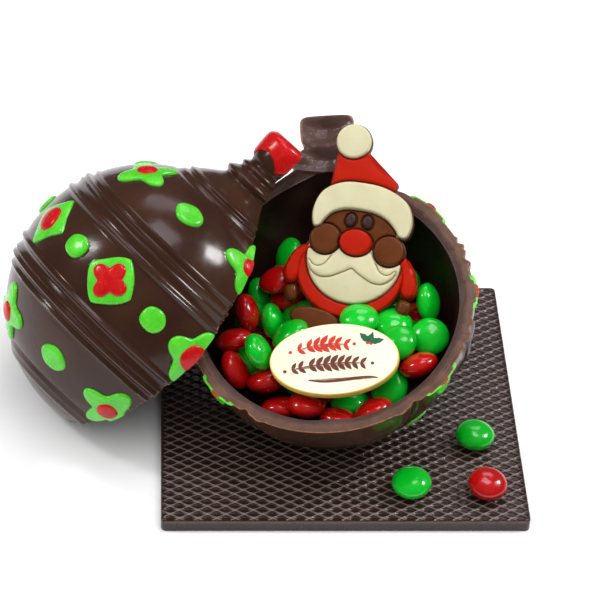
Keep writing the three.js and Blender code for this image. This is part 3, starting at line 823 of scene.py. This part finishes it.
def slabTree():
    tree, given = newTree("embossing", {
        "Cell width": "Float", "Cell depth": "Float", "Pit depth": "Float", "Rib share": "Float"})
    patch = addNode(tree, "GeometryNodeMeshGrid", {
        "Size X": 1.0, "Size Y": 1.0, "Vertices X": 9, "Vertices Y": 9})
    where = addNode(tree, "ShaderNodeSeparateXYZ", {0: addNode(tree, "GeometryNodeInputPosition").outputs[0]})
    # the points of the square patch are drawn towards its edges, where the ribs are; away is a rounded distance
    moved = []
    powers = []
    for axis in ("X", "Y"):
        gap = maths(tree, "SUBTRACT", 0.5, maths(tree, "ABSOLUTE", where.outputs[axis]))
        eased = maths(tree, "POWER", gap, slab["meshPower"])
        drawn = maths(tree, "MULTIPLY_ADD", eased, -(2 ** (slab["meshPower"] - 1)), 0.5)
        moved.append(maths(tree, "MULTIPLY", drawn, maths(tree, "SIGN", where.outputs[axis])))
        powers.append(maths(tree, "POWER", drawn, slab["pitPower"]))
    away = maths(tree, "POWER", maths(tree, "ADD", *powers), 1 / slab["pitPower"])
    sunk = addNode(tree, "ShaderNodeMapRange", {
        "Value": maths(tree, "SUBTRACT", 0.5, away), "From Min": 0.0, "From Max": given["Rib share"]},
        interpolation_type="SMOOTHSTEP")
    halfWidth = maths(tree, "MULTIPLY", given["Cell width"], 0.5)
    halfDepth = maths(tree, "MULTIPLY", given["Cell depth"], 0.5)
    x = maths(tree, "MULTIPLY", maths(tree, "ADD", *moved), halfWidth)
    y = maths(tree, "MULTIPLY", maths(tree, "SUBTRACT", *moved), halfDepth)
    z = maths(tree, "MULTIPLY", sunk.outputs[0], maths(tree, "MULTIPLY", given["Pit depth"], -1.0))
    point = addNode(tree, "ShaderNodeCombineXYZ", {"X": x, "Y": y, "Z": z})
    pit = addNode(tree, "GeometryNodeSetPosition", {
        "Geometry": patch.outputs["Mesh"], "Position": point.outputs[0]})
    spread = addNode(tree, "GeometryNodeInstanceOnPoints", {
        "Points": given["Geometry"], "Instance": pit.outputs[0]})
    real = addNode(tree, "GeometryNodeRealizeInstances", {"Geometry": spread.outputs[0]})
    joined = addNode(tree, "GeometryNodeMergeByDistance", {
        "Geometry": real.outputs[0], "Distance": 0.02 * mm})
    finished = addNode(tree, "GeometryNodeSetMaterial", {
        "Geometry": joined.outputs[0], "Material": slabChocolate})
    addNode(tree, "NodeGroupOutput", {"Geometry": finished.outputs[0]})
    return tree


def slabCuts(half):  # where and which way the field of pits is cut: four sides, three flats at each corner
    cuts = [((side * half, 0), (side, 0)) for side in (-1, 1)]
    cuts += [((0, side * half), (0, side)) for side in (-1, 1)]
    corner = slab["corner"]
    centre = half - corner
    for sx in (-1, 1):
        for sy in (-1, 1):
            for turn in (pi / 8, pi / 4, 3 * pi / 8):
                way = (sx * cos(turn), sy * sin(turn))
                cuts.append(((sx * centre + corner * way[0], sy * centre + corner * way[1]), way))
    return cuts


def makeSlab():
    half = slab["side"] / 2
    columns = round(slab["side"] / slab["cellX"])
    rows = round(slab["side"] / slab["cellY"])
    spots = [(-half + i * slab["cellX"], -half + j * slab["cellY"], slab["thick"])
             for i in range(columns + 1) for j in range(rows + 1)]
    spots += [(-half + (i + 0.5) * slab["cellX"], -half + (j + 0.5) * slab["cellY"], slab["thick"])
              for i in range(columns) for j in range(rows)]
    mesh = bpy.data.meshes.new("slab")
    mesh.from_pydata([Vector(spot) * mm for spot in spots], [], [])
    result = applied("slab", mesh, slabTree(), {
        "Cell width": slab["cellX"] * mm, "Cell depth": slab["cellY"] * mm,
        "Pit depth": slab["pit"] * mm, "Rib share": slab["ribShare"]})
    shape = bmesh.new()
    shape.from_mesh(result)
    for (x, y), (nx, ny) in slabCuts(half):
        bmesh.ops.bisect_plane(
            shape, geom=shape.verts[:] + shape.edges[:] + shape.faces[:], dist=weld / 4,
            plane_co=Vector((x, y, 0)) * mm, plane_no=(nx, ny, 0), clear_outer=True)
    for vertex in shape.verts:  # the pits fade out within a millimetre of the side
        inward = half - max(abs(vertex.co.x), abs(vertex.co.y)) / mm
        sunk = slab["thick"] * mm - vertex.co.z
        vertex.co.z += sunk * (1 - float(smooth(inward, 0.1, 1.1)))
    border = [edge for edge in shape.edges if edge.is_boundary]
    for level in (slab["thick"] - 0.5, slab["thick"] / 2, 0.35, 0):
        made = bmesh.ops.extrude_edge_only(shape, edges=border)["geom"]
        border = [item for item in made if isinstance(item, bmesh.types.BMEdge) and item.is_boundary]
        for vertex in {v for edge in border for v in edge.verts}:
            vertex.co.z = level * mm
            if level == 0:
                vertex.co.x *= 1 - slab["chamfer"] / half
                vertex.co.y *= 1 - slab["chamfer"] / half
    bmesh.ops.holes_fill(shape, edges=border, sides=0)
    shape.to_mesh(result)
    shape.free()
    edge = result.attributes.new("edge", "FLOAT", "POINT")
    ribHighlight = result.attributes.new("ribHighlight", "FLOAT", "POINT")
    places = np.zeros(len(result.vertices) * 3)
    result.vertices.foreach_get("co", places)
    places = places.reshape(-1, 3) / mm
    inward = half - np.abs(places[:, :2]).max(1)
    edge.data.foreach_set("value", (1 - smooth(inward, 0, 0.5)) * smooth(places[:, 2], 3.4, 4.2))
    # painted highlight mark: 1 on the tops of the ribs, fading out near the sides
    ribHighlight.data.foreach_set("value", smooth(places[:, 2] - slab["thick"], -0.4, 0) * smooth(inward, 0.3, 1.2))
    addPiece("slab", result, (), ("chocolate_slab",), 55)


makeSlab()


# Flat reliefs: a field inside an outline, with a rounded shoulder, a low crown and grooves round what is on it

def inwardDistance(points, outline):
    start = outline
    ahead = np.roll(outline, -1, 0) - start
    length = np.maximum((ahead**2).sum(1), 1e-12)
    away = points[:, None] - start[None]
    share = np.clip((away * ahead[None]).sum(2) / length, 0, 1)
    gap = np.linalg.norm(away - share[..., None] * ahead[None], axis=2).min(1)
    crosses = (start[None, :, 1] > points[:, None, 1]) != (np.roll(start, -1, 0)[None, :, 1] > points[:, None, 1])
    rise = np.where(np.abs(ahead[:, 1]) < 1e-9, 1e-9, ahead[:, 1])
    at = start[None, :, 0] + (points[:, None, 1] - start[None, :, 1]) * (ahead[:, 0] / rise)[None]
    inside = (crosses & (points[:, None, 0] < at)).sum(1) % 2 == 1
    return np.where(inside, gap, -gap)


def fieldPoints(outline, shoulder, spacing, around, groove, raised):  # close together at shoulders and lines
    rings = [grownOutline(outline, -inward * shoulder) for inward in (0.04, 0.14, 0.32, 0.6, 1.0)]
    for other in around:
        rings += [grownOutline(other, groove + extra * shoulder) for extra in (0.0, 0.05, 0.16, 0.36, 0.65, 1.0)]
    if raised is not None:
        for offset in (-1.4, -0.9, -0.6, -0.4, -0.25, -0.12, 0, 0.12, 0.25, 0.4):
            ring = grownOutline(raised, offset)
            rings.append(ring[np.abs(inwardDistance(ring, raised)) > abs(offset) - 0.03])
    low = outline.min(0)
    high = outline.max(0)
    gridX, gridY = np.meshgrid(np.arange(low[0], high[0], spacing), np.arange(low[1], high[1], spacing * 0.87))
    gridX[1::2] += spacing / 2
    inner = np.stack([gridX.ravel(), gridY.ravel()], 1)
    near = inwardDistance(inner, outline) < shoulder * 1.25
    for other in around:
        outside = -inwardDistance(inner, other)
        near |= (outside > -0.5) & (outside < groove + shoulder * 1.25)
    if raised is not None:
        near |= np.abs(inwardDistance(inner, raised)) < 0.8
    candidates = np.concatenate(rings + [inner[~near]])
    return np.concatenate([outline, candidates[inwardDistance(candidates, outline) > 0.03 * shoulder]])


def membrane(triangles, free, size):  # a skin blown up between the points that are held, 1 at its highest
    pairs = {tuple(sorted((f[k], f[(k + 1) % 3]))) for f in triangles for k in range(3)}
    ends = np.array(sorted(pairs))
    count = len(free)
    lift = np.zeros(count)
    tally = np.maximum(np.bincount(ends.ravel(), minlength=count), 1)
    for _ in range(160):
        total = (np.bincount(ends[:, 0], lift[ends[:, 1]], count)
                 + np.bincount(ends[:, 1], lift[ends[:, 0]], count))
        lift = np.where(free, total / tally + size, 0)
    return lift / max(lift.max(), 1e-9)


def addField(shape, outline, base, floor, top, shoulder=0.8, crown=0.4, spacing=0.7, around=(), groove=0.4,
             raised=None):
    outline = np.asarray(outline, float)
    count = len(outline)
    points = fieldPoints(outline, shoulder, spacing, around, groove, raised)
    edges = [(k, (k + 1) % count) for k in range(count)]
    made = delaunay_2d_cdt([Vector(p) for p in points], edges, [], 1, 1e-5, True)
    flat = np.array([tuple(v) for v in made[0]])
    triangles = [tuple(face) for face in made[2]]
    loop = [None] * count  # the new number of each point of the outline
    border = np.zeros(len(flat), bool)
    for new, olds in enumerate(made[3]):
        for old in olds:
            if old < count:
                loop[old] = new
                border[new] = True
    inward = np.maximum(inwardDistance(flat, outline), 0)
    inward[border] = 0
    for other in around:
        inward = np.minimum(inward, np.maximum(-inwardDistance(flat, other) - groove, 0))
    lift = membrane(triangles, inward > shoulder * 0.3, spacing**2 / 4)
    height = floor + (top - floor) * rounded(inward, shoulder) + crown * lift**0.8
    rise = np.clip((height - floor) / (top - floor), 0, 1)
    if raised is not None:  # stands higher, with a thin line pressed round it
        within = inwardDistance(flat, raised)
        pressed = np.exp(-((within / 0.24) ** 2)) * (inward > shoulder)
        height += 0.6 * rounded(within - 0.1, 1.5) * rounded(inward, shoulder) - 0.45 * pressed
        # the pressed line also lowers rise, which the cream material paints as a line of painted shade
        rise = np.minimum(rise, 1 - pressed)
    body = np.concatenate([np.column_stack([flat, height]), np.column_stack([outline, np.full(count, base)])])
    foot = len(flat)
    faces = list(triangles)
    faces += [(loop[k], foot + k, foot + (k + 1) % count, loop[(k + 1) % count]) for k in range(count)]
    faces.append(tuple(foot + k for k in range(count)))
    shape.add(body, faces, 0, np.concatenate([rise, np.zeros(count)]))


# The moulded figure: drawn upright with its nose at the origin

figure = {
    "at": (9.3, 22.55, -3.1), "recline": 19.4, "headTilt": -11.5, "back": 3.2, "rim": 0.35, "base": 1.0,
    "sunk": 0.25, "shoulder": 0.6, "groove": 0.22, "plateGap": 0.02, "plateRound": 0.5,
}


def mirrored(points):
    return [(-x, y) for x, y in reversed(points)]


rightBand = [(0, 11), (5, 10.5), (9, 8.9), (12.2, 6), (13.6, 4), (15.6, 3.5), (17.1, 5.2), (17.6, 9.4),
             (15.8, 14.4), (12.2, 17.5), (6.4, 19.8), (0, 20.4)]
# the band's other end is shorter and a little higher
leftBand = [(x if x > -9 else -9 + 0.8 * (x + 9), y + 0.2) for x, y in mirrored(rightBand)]
rightMoustache = [(0, -8.9), (2.7, -10.4), (6.9, -12.5), (10.6, -12.7), (13.4, -10.9), (14.8, -8.3), (14.3, -7.6),
                  (12.9, -9), (11.2, -9.4), (9.2, -8.4), (7.6, -5.9), (5.6, -2.6), (0, -1)]
rightSleeve = [(13.6, -3.6), (17.2, -2.6), (20, -5.2), (21.8, -9.2), (22.4, -13), (21.2, -15.6), (18.6, -16),
               (16.9, -13.8), (16.6, -9.4), (15.6, -6)]
rightMitten = [(17.4, -16.4), (19.6, -16.7), (21, -17.4), (21.2, -20), (19.8, -22), (17.6, -22), (16.4, -19.8)]
outlines = {
    "band": smoothLine(rightBand + leftBand[1:-1], 6, True),
    "hat": smoothLine([(-11.6, 16.4), (-11.6, 16.4), (-11.2, 24), (-10.7, 30.5), (-10.7, 30.5), (-6, 28.2),
                       (-0.4, 31), (-0.4, 31), (1.5, 28.4), (4, 26), (7.2, 24.3), (9.8, 22.6), (11, 21.2),
                       (10, 19), (10, 19), (5.6, 19.2), (0, 19.6), (-6.4, 19)], 6, True),
    "pom": oval(-6, 33.8, 5.9, 5.9),
    "face": smoothLine([(-12.8, 2.4), (-11, 8), (-5.6, 11.8), (0, 12.6), (5.6, 11.8), (11, 8), (12.8, 2.4), (8, -1),
                        (0, -1.6), (-8, -1)], 6, True),
    "beard": oval(0.3, -4.7, 15.9, 15.8, steps=96),
    "body": oval(-0.3, -9.5, 17.7, 15.7, steps=96),
    "moustache": smoothLine(rightMoustache + mirrored(rightMoustache)[1:-1], 6, True),
    "nose": oval(0, 0, 5.5, 4.5),
}
outlines["leftCheek"] = oval(-10.2, 0, 5.2, 5.15)
outlines["rightCheek"] = oval(11.4, -1.3, 5.2, 5.15)
outlines["leftFoot"] = oval(-9.2, -27.3, 8.6, 4, -0.12)
outlines["rightFoot"] = oval(7.4, -25, 6.4, 2.6, 0.12)
for side, name in ((-1, "left"), (1, "right")):
    facing = slice(None, None, side)
    outlines[name + "Eye"] = oval(side * 2.8, 7.3, 1.75, 2.4, side * 0.1, 32)
    outlines[name + "Sleeve"] = (smoothLine(rightSleeve, 6, True) * (side, 1))[facing]
    outlines[name + "Mitten"] = (smoothLine(rightMitten, 6, True) * (side, 1))[facing]

sides = ("left", "right")
# each field: its colour, outline, height, crown, and the outlines that lie on it
figureFields = [
    ("red", "body", 4.2, 0.3, ["beard"]),
    ("cream", "beard", 4.6, 0.6, ["nose", "leftCheek", "rightCheek", "face"]),
    ("milk", "face", 4.0, 0.3, ["band", "nose", "leftCheek", "rightCheek", "leftEye", "rightEye"]),
    ("red", "hat", 4.6, 0.5, ["band", "pom"]),
    ("cream", "band", 5.2, 0.7, []),
    ("cream", "pom", 5.3, 0.5, []),
    ("red", "nose", 6.0, 0.9, []),
] + [("milk", side + "Cheek", 5.4, 0.7, ["nose", "band"]) for side in sides] + [
    ("dark", side + "Eye", 4.9, 0.4, []) for side in sides] + [
    ("red", side + "Sleeve", 4.6, 0.5, [side + "Cheek"]) for side in sides] + [
    ("milk", side + "Mitten", 4.1, 0.3, []) for side in sides] + [
    ("milk", "leftFoot", 4.9, 0.6, []), ("milk", "rightFoot", 3.6, 0.4, [])]
figureFinishes = {
    "red": ("coloured_chocolate", redChocolate), "cream": ("white_chocolate", creamChocolate),
    "milk": ("dark_chocolate", milkChocolate), "dark": ("dark_chocolate", eyeChocolate),
}


def makeFigure():
    place = bowlFrame @ Matrix.Translation(figure["at"]) @ Matrix.Rotation(
        radians(figure["recline"]), 4, "X") @ Matrix.Rotation(radians(figure["headTilt"]), 4, "Z")
    back = figure["back"]
    shapes = {colour: Shape() for colour in figureFinishes}
    for colour, name, height, crown, above in figureFields:
        addField(shapes[colour], outlines[name], figure["base"], back - figure["sunk"], height,
                 shoulder=figure["shoulder"], crown=crown, around=[outlines[other] for other in above],
                 groove=figure["groove"], raised=outlines["moustache"] if name == "beard" else None)
    for colour, shape in shapes.items():
        slotName, material = figureFinishes[colour]
        addPiece("figure_" + colour, shape.mesh("figure_" + colour, place, "rise"), (material,),
                 ("bearded_figure",), 45)
    plate = Shape()
    backed = ["body", "hat", "band", "pom", "face"] + [s + p for s in sides for p in
                                                     ("Cheek", "Sleeve", "Mitten", "Foot")]
    for number, name in enumerate(backed):  # a hair's difference in level, so that no two tops coincide
        level = back - figure["plateGap"] * number
        addField(plate, grownOutline(outlines[name], figure["rim"]), 0.0, level - figure["plateRound"], level,
                 shoulder=figure["shoulder"], crown=0.0, spacing=2.0)
    addPiece("figure_back", plate.mesh("figure_back", place, "rise"), (backChocolate,),
             ("bearded_figure",), 45)


makeFigure()


# The plaque, and the ornament pressed on it: a red and a brown leaf spray, a swash and a holly sprig

plaque = {"halfWidth": 21, "halfDepth": 12.9, "thick": 3.2, "edge": 0.7, "at": (1.7, -21.3, 0.5), "ink": 0.05}


def leafOutline(x, y, long, wide, turn, lobes=0):  # a pointed leaf; lobes give it holly's spikes
    steps = 40
    along = np.concatenate([np.linspace(0, 1, steps // 2), np.linspace(1, 0, steps // 2)[1:-1]])
    side = np.concatenate([-np.ones(steps // 2), np.ones(steps // 2 - 2)])
    half = np.sin(pi * along**0.8) ** 0.9
    if lobes:
        half = half * (0.62 + 0.38 * np.abs(np.cos(lobes * pi * along)) ** 0.7)
    across = side * half * wide / 2
    ahead = along * long
    return np.stack([x + ahead * cos(turn) - across * sin(turn), y + ahead * sin(turn) + across * cos(turn)], 1)


def strokeOutline(points, widest, thin=0.15):  # a line that swells in the middle
    line = smoothLine(points, 8)
    ahead = np.gradient(line, axis=0)
    normal = np.stack([-ahead[:, 1], ahead[:, 0]], 1) / np.linalg.norm(ahead, axis=1)[:, None]
    share = np.linspace(0, 1, len(line))[:, None]
    half = (thin + (widest - thin) * np.sin(pi * share)) / 2
    return np.concatenate([line - normal * half, (line + normal * half)[::-1]])


def sprayOf(start, end, rise, leaves, long, wide):  # a bowed stem with leaves in pairs
    start = np.array(start, float)
    end = np.array(end, float)
    middle = (start + end) / 2 + (0, rise)
    stem = smoothLine([start, (start + middle) / 2 + (0, rise * 0.3), middle,
                       (middle + end) / 2 + (0, rise * 0.3), end], 8)
    shapes = [strokeOutline([tuple(p) for p in stem[::8]], 0.42)]
    for k in range(leaves):
        spot = int((k + 0.6) / leaves * (len(stem) - 2))
        at = stem[spot]
        ahead = stem[spot + 1] - at
        heading = np.arctan2(ahead[1], ahead[0])
        size = 1 - 0.35 * abs(2 * (k + 0.5) / leaves - 1)
        for side in (-1, 1):
            shapes.append(leafOutline(at[0], at[1], long * size, wide * size, heading + side * 0.85))
    return shapes


def inkDots(*places):
    return [oval(x, y, 0.6, 0.6, steps=20) for x, y in places]


prints = {
    "red": sprayOf((-12.4, 3.4), (4.6, 4.9), 1.2, 7, 4.3, 1.9)
    + inkDots((-14.2, 3), (6.6, 5), (10.9, 5.2), (12, 4.9), (11.6, 6)),
    "brown": sprayOf((-14.2, -3.4), (10.4, -2.2), 1.1, 10, 4.2, 1.85)
    + [strokeOutline([(-8.4, -7.4), (-4, -8.1), (1, -8), (6, -7.5), (11, -7.2), (14, -7.6)], 1.1, 0.4)]
    + inkDots((-16, -3.9), (12.4, -2.3)),
    "green": [leafOutline(11.6, 5.4, 4.8, 2.4, turn, 3) for turn in (0.15, 2.3)] + [
        leafOutline(11.4, 5.5, 3.8, 2, 1.2, 2)],
}


def makePlaque():
    place = bowlFrame @ Matrix.Translation(plaque["at"])
    edge = plaque["edge"]
    thick = plaque["thick"]
    width = plaque["halfWidth"]
    # down the middle of the top, over the upper edge, round the lower one and in again: share, level, mark
    levels = [(1e-6, 0, 0), (0.5, 0, 0), (0.85, 0, 0)]
    levels += [(1 - edge * (1 - sin(t)) / width, -edge * (1 - cos(t)) * 0.8, t > 0.4)
               for t in np.linspace(0, pi / 2, 7)]
    levels += [(1.0, -thick / 2, 1)]
    levels += [(1 - edge * (1 - cos(t)) / width, -thick + edge * (1 - sin(t)), 1)
               for t in np.linspace(0, pi / 2, 6)]
    levels += [(0.5, -thick, 1), (1e-6, -thick, 1)]
    steps = 128
    angle = np.arange(steps) * tau / steps
    rings = [np.stack([share * width * np.cos(angle), share * plaque["halfDepth"] * np.sin(angle),
                       np.full(steps, level)], -1) for share, level, _ in levels]
    marks = [np.full(steps, float(mark)) for _, _, mark in levels]
    shape = Shape()
    shape.grid(np.stack(rings), 0, np.stack(marks), wrap=True)
    addPiece("plaque", shape.mesh("plaque", place, "side"), (ivoryChocolate,),
             ("plaque",), 60)
    for number, (colour, drawings) in enumerate(prints.items()):
        ink = Shape()
        for drawing in drawings:
            addField(ink, drawing, -0.3, 0.0, plaque["ink"] + 0.01 * number,
                     shoulder=0.08, crown=0.0, spacing=1.2)
        addPiece("plaque_print_" + colour, ink.mesh("ink", place),
                 (inks[colour],), (), 60)


makePlaque()


# Studio: pale floor, white soft lights, the photograph's viewpoint

view = {"azimuth": -4.327, "elevation": 39.431, "roll": 3.063, "lens": 155.16, "distance": 929.367,
        "target": (-10.081, 57.876, 0)}
# round, height and distance of each soft light as seen from the object; brightness is the panel's own
lamps = [
    {"name": "rightSoftbox", "azimuth": 99, "elevation": 43, "distance": 1100, "width": 190, "height": 260,
     "brightness": 36, "colour": "FFFFFF"},
    {"name": "leftSoftbox", "azimuth": -100, "elevation": 45, "distance": 1100, "width": 150, "height": 220,
     "brightness": 26, "colour": "FFFFFF"},
    {"name": "backPanel", "azimuth": 166, "elevation": 49, "distance": 1300, "width": 560, "height": 380,
     "brightness": 2.8, "colour": "F3E6F6"},
    {"name": "topPanel", "azimuth": 135, "elevation": 81, "distance": 1200, "width": 460, "height": 460,
     "brightness": 5, "colour": "F6ECF8"},
    # wide fills that nothing glossy mirrors
    {"name": "fillCloth", "azimuth": 8, "elevation": 66, "distance": 1500, "width": 1700, "height": 1500,
     "brightness": 2.2, "colour": "FFFFFF", "mirrored": False},
    {"name": "fillBoard", "azimuth": -82, "elevation": 27, "distance": 1500, "width": 1600, "height": 900,
     "brightness": 2, "colour": "FFFFFF", "mirrored": False},
]


def makeCamera():
    azimuth, elevation, roll = (radians(view[key]) for key in ("azimuth", "elevation", "roll"))
    back = Vector((sin(azimuth) * cos(elevation), -cos(azimuth) * cos(elevation), sin(elevation)))
    level = Vector((cos(azimuth), sin(azimuth), 0))
    up = back.cross(level)
    right = cos(roll) * level + sin(roll) * up
    above = cos(roll) * up - sin(roll) * level
    data = bpy.data.cameras.new("camera")
    data.lens = view["lens"]
    data.sensor_width = 36
    data.clip_end = 20
    camera = bpy.data.objects.new("camera", data)
    place = Matrix((right, above, back)).transposed().to_4x4()
    place.translation = (Vector(view["target"]) + back * view["distance"]) * mm
    camera.matrix_world = place
    bpy.context.scene.collection.objects.link(camera)
    bpy.context.scene.camera = camera


def makeStudio():
    floorMesh = bpy.data.meshes.new("floor")
    reach = 4.0
    floorMesh.from_pydata([(-reach, -reach, 0), (reach, -reach, 0), (reach, reach, 0), (-reach, reach, 0)], [],
                          [(0, 1, 2, 3)])
    floor = bpy.data.objects.new("floor", floorMesh)
    bpy.context.scene.collection.objects.link(floor)
    # seamless paper: matt and almost white
    floorMesh.materials.append(foodMaterial("studioPaper", {
        "colour": "F6F6F6", "patch": "F8F8F8", "cloud": 60, "grain": 2, "relief": 0.005, "roughness": (0.8, 0.9),
        "specular": 0.1}))
    aim = Vector((-25, 0, 45))
    for lamp in lamps:
        data = bpy.data.lights.new(lamp["name"], "AREA")
        data.shape = "RECTANGLE"
        data.size = lamp["width"] * mm
        data.size_y = lamp["height"] * mm
        data.color = linear(lamp["colour"])[:3]
        data.energy = lamp["brightness"] * pi * data.size * data.size_y
        light = bpy.data.objects.new(lamp["name"], data)
        azimuth, elevation = radians(lamp["azimuth"]), radians(lamp["elevation"])
        away = Vector((sin(azimuth) * cos(elevation), -cos(azimuth) * cos(elevation), sin(elevation)))
        light.location = (aim + away * lamp["distance"]) * mm
        light.rotation_euler = away.to_track_quat("Z", "Y").to_euler()
        light.visible_camera = False
        light.visible_glossy = lamp.get("mirrored", True)
        bpy.context.scene.collection.objects.link(light)
    world = bpy.data.worlds.new("studio")
    world.use_nodes = True
    world.node_tree.nodes["Background"].inputs["Color"].default_value = linear("F0EDF2")
    world.node_tree.nodes["Background"].inputs["Strength"].default_value = 0.12
    bpy.context.scene.world = world
    bpy.context.scene.view_settings.view_transform = "Standard"


makeCamera()
makeStudio()
print("studio ready")
